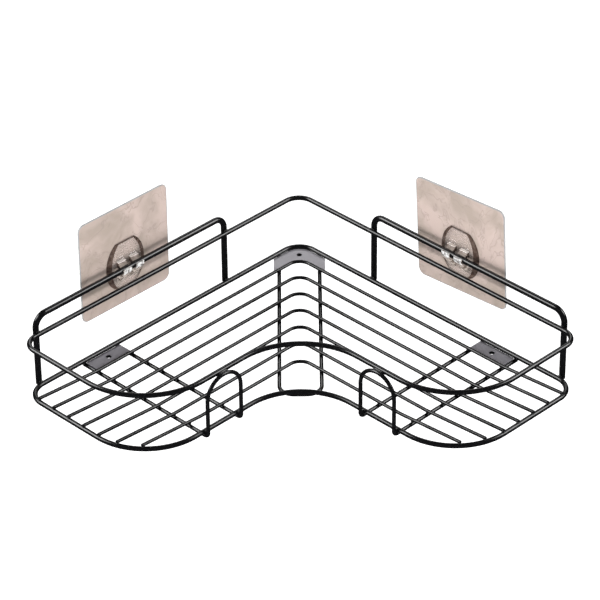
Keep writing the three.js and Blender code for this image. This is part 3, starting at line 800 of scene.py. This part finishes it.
def moulded_plastic(name, light, dark, transmission, alpha, mottling=2.5 * MM):
    """Clear moulded plastic, mottled between the two tones given as painted refraction of what it bends into
    view, with flow marks and rubbed spots.
    """
    material = new_material(name, IOR=1.49, Transmission_Weight=transmission, Alpha=alpha)
    mottle = object_noise(material, mottling, detail=2)
    flow = object_noise(material, 12 * MM, detail=1)
    rub = object_noise(material, 4 * MM, detail=1)
    connect(
        material,
        Base_Color=tint(material, remap(material, mottle, 0, 1, 0.4, 0.58), dark, light),
        Roughness=remap(material, rub, 0.05, 0.12),
        Normal=bump(material, flow, 0.05 * MM),
    )
    return material


def joined(first, second):
    """First piece with the second fused to it, both as closed solids."""
    union = first.modifiers.new("union", "BOOLEAN")
    union.operation = "UNION"
    union.solver = "EXACT"
    union.object = second
    fused = bpy.data.meshes.new_from_object(first.evaluated_get(bpy.context.evaluated_depsgraph_get()))
    first.modifiers.clear()
    first.data = fused
    bpy.data.objects.remove(second)
    return first


def without_slivers(mesh):
    """Merges the corners that joining left all but on top of each other, so that no face is a sliver."""
    solid = bmesh.new()
    solid.from_mesh(mesh)
    bmesh.ops.remove_doubles(solid, verts=solid.verts, dist=SAME_CORNER)
    solid.to_mesh(mesh)
    solid.free()


# One clear plastic in copies painted with light and shade: the clear faces, dark refraction, glints, mottled
# refraction, a lit tone for the jaws' fronts and a highlight for their tops.
clip_plastics = (
    moulded_plastic("clear_plastic", (0.66, 0.57, 0.53), (0.50, 0.43, 0.39), 0.0, 0.16),
    # Dark brown painted refraction for the boss's flanks and the jaws' legs and sides.
    moulded_plastic("dark_painted_refraction_plastic", (0.11, 0.078, 0.064), (0.065, 0.042, 0.034), 0.2, 1.0),
    # Painted glints: the lips' noses mottled white and dark for the glints and refractions of clear plastic.
    moulded_plastic("painted_glints_plastic", (0.76, 0.76, 0.75), (0.14, 0.125, 0.12), 0.1, 0.92),
    # Painted refraction: mottled brown and cream on the gussets and the lips' sides.
    moulded_plastic("mottled_painted_refraction_plastic", (0.70, 0.62, 0.56), (0.18, 0.145, 0.12), 0.0, 0.62, 3.2 * MM),
    # Painted light: the jaws' fronts in a paler tone than their legs.
    moulded_plastic("jaw_front_painted_light_plastic", (0.42, 0.355, 0.315), (0.25, 0.205, 0.18), 0.0, 0.72, 6 * MM),
    # Painted highlight: the jaws' rounded tops in near white.
    moulded_plastic("jaw_top_painted_highlight_plastic", (0.88, 0.82, 0.78), (0.66, 0.58, 0.53), 0.0, 0.95, 6 * MM),
)
jaw = jaw_profile()
# The jaws' legs and sides take the dark painted refraction, their fronts painted light, their rounded tops a
# painted highlight.
jaw_finish = np.full(len(jaw), DARK_PAINTED_REFRACTION)
jaw_finish[jaw[:, 0] >= -BOSS_SETBACK + JAW_REACH] = JAW_FRONT_PAINTED_LIGHT
jaw_finish[jaw[:, 1] >= JAW_TOP - JAW_ROUND / 2] = JAW_TOP_PAINTED_HIGHLIGHT
lip = lip_profile()
# The lips' noses take painted glints, and the gusset's slope painted refraction; the rest stays clear.
lip_finish = np.where(np.hypot(*lip.T) > bore + LIP_WALL / 2, PAINTED_GLINTS, CLEAR)
lip_finish[:2] = (CLEAR, MOTTLED_PAINTED_REFRACTION)
for name, side, along, _ in PADS:
    clip = add_piece(f"{name}_hook_clip_moulded", [boss_shell(side, along)], *clip_plastics, sharp_angle=30)
    for centre in (-JAW_SPACING / 2, JAW_SPACING / 2):
        for profile, finish, end_finish in ((jaw, jaw_finish, DARK_PAINTED_REFRACTION), (lip, lip_finish, MOTTLED_PAINTED_REFRACTION)):
            shell = prism_shell(side, along, centre, profile, finish, end_finish)
            clip = joined(clip, add_piece("clip_arm", [shell], *clip_plastics, sharp_angle=30))
    without_slivers(clip.data)
    settle(clip, f"{name}_pad", "clear_plastic", f"{name}_hook_clip")


# ------------------------------------------------------------------------------------------------ studio
# A pale floor far below the hanging caddy, a softbox on each side and one behind, and two soft fills in
# front, one high and one low. The fills and the floor don't show in the gloss of the wires. The camera
# stands well back and looks down over the front of the shelf.

STUDIO_FLOOR_DROP = 0.5
STUDIO_FLOOR_SIZE = 24.0
LIGHT_TARGET = (0, 0, 0.04)
CAMERA_PLACE = (-0.0009, -2.1821, 1.4954)
CAMERA_YAW = 0.0005
CAMERA_PITCH = 0.58656           # downwards
CAMERA_ROLL = 0.0096
CAMERA_LENS = 201.68
CAMERA_REACH = 50


def studio_light(name, place, width, height, power, in_gloss=True):
    """Area light that faces the middle of the caddy."""
    data = bpy.data.lights.new(name, "AREA")
    data.shape = "RECTANGLE"
    data.size = width
    data.size_y = height
    data.energy = power
    light = bpy.data.objects.new(name, data)
    light.location = place
    light.rotation_euler = (Vector(LIGHT_TARGET) - Vector(place)).to_track_quat("-Z", "Y").to_euler()
    light.visible_glossy = in_gloss
    bpy.context.scene.collection.objects.link(light)


studio_light("left_softbox", (-1.7, 0.1, 1.25), 1.1, 1.2, 46)
studio_light("right_softbox", (1.7, 0.1, 1.25), 0.9, 1.1, 34)
studio_light("front_fill", (0.0, -2.4, 2.4), 1.6, 1.2, 6, in_gloss=False)
studio_light("low_fill", (0.0, -2.0, -0.15), 2.4, 0.6, 58, in_gloss=False)
studio_light("back_softbox", (0.0, 2.2, 1.5), 1.6, 0.7, 10)

world = bpy.data.worlds.new("studio_air")
world.use_nodes = True
world.node_tree.nodes["Background"].inputs["Color"].default_value = (0.95, 0.97, 1.0, 1)
world.node_tree.nodes["Background"].inputs["Strength"].default_value = 0.03
bpy.context.scene.world = world

floor_mesh = bpy.data.meshes.new("studio_floor")
quarters = np.array([(-1, -1), (1, -1), (1, 1), (-1, 1)]) * STUDIO_FLOOR_SIZE / 2
floor_points = np.column_stack([quarters, np.full(4, -STUDIO_FLOOR_DROP)])
floor_mesh.from_pydata(floor_points.tolist(), [], [(0, 1, 2, 3)])
floor_paint = new_material("studio_paint", Base_Color=(0.9, 0.9, 0.9, 1), Roughness=0.9,
                              Emission_Color=(1, 1, 1, 1), Emission_Strength=0.5)
floor_mesh.materials.append(floor_paint)
studio_floor = bpy.data.objects.new("studio_floor", floor_mesh)
studio_floor.visible_glossy = False
bpy.context.scene.collection.objects.link(studio_floor)

level_forward = Vector((math.sin(CAMERA_YAW), math.cos(CAMERA_YAW), 0))
forward = level_forward * math.cos(CAMERA_PITCH) - Vector((0, 0, math.sin(CAMERA_PITCH)))
level_right = Vector((math.cos(CAMERA_YAW), -math.sin(CAMERA_YAW), 0))
level_down = forward.cross(level_right)
right = level_right * math.cos(CAMERA_ROLL) + level_down * math.sin(CAMERA_ROLL)
down = level_down * math.cos(CAMERA_ROLL) - level_right * math.sin(CAMERA_ROLL)
camera_data = bpy.data.cameras.new("camera")
camera_data.lens = CAMERA_LENS
camera_data.clip_end = CAMERA_REACH
camera = bpy.data.objects.new("camera", camera_data)
turned = Matrix((right, -down, -forward)).transposed().to_4x4()
camera.matrix_world = Matrix.Translation(CAMERA_PLACE) @ turned
bpy.context.scene.collection.objects.link(camera)
bpy.context.scene.camera = camera
bpy.context.scene.view_settings.view_transform = "Standard"
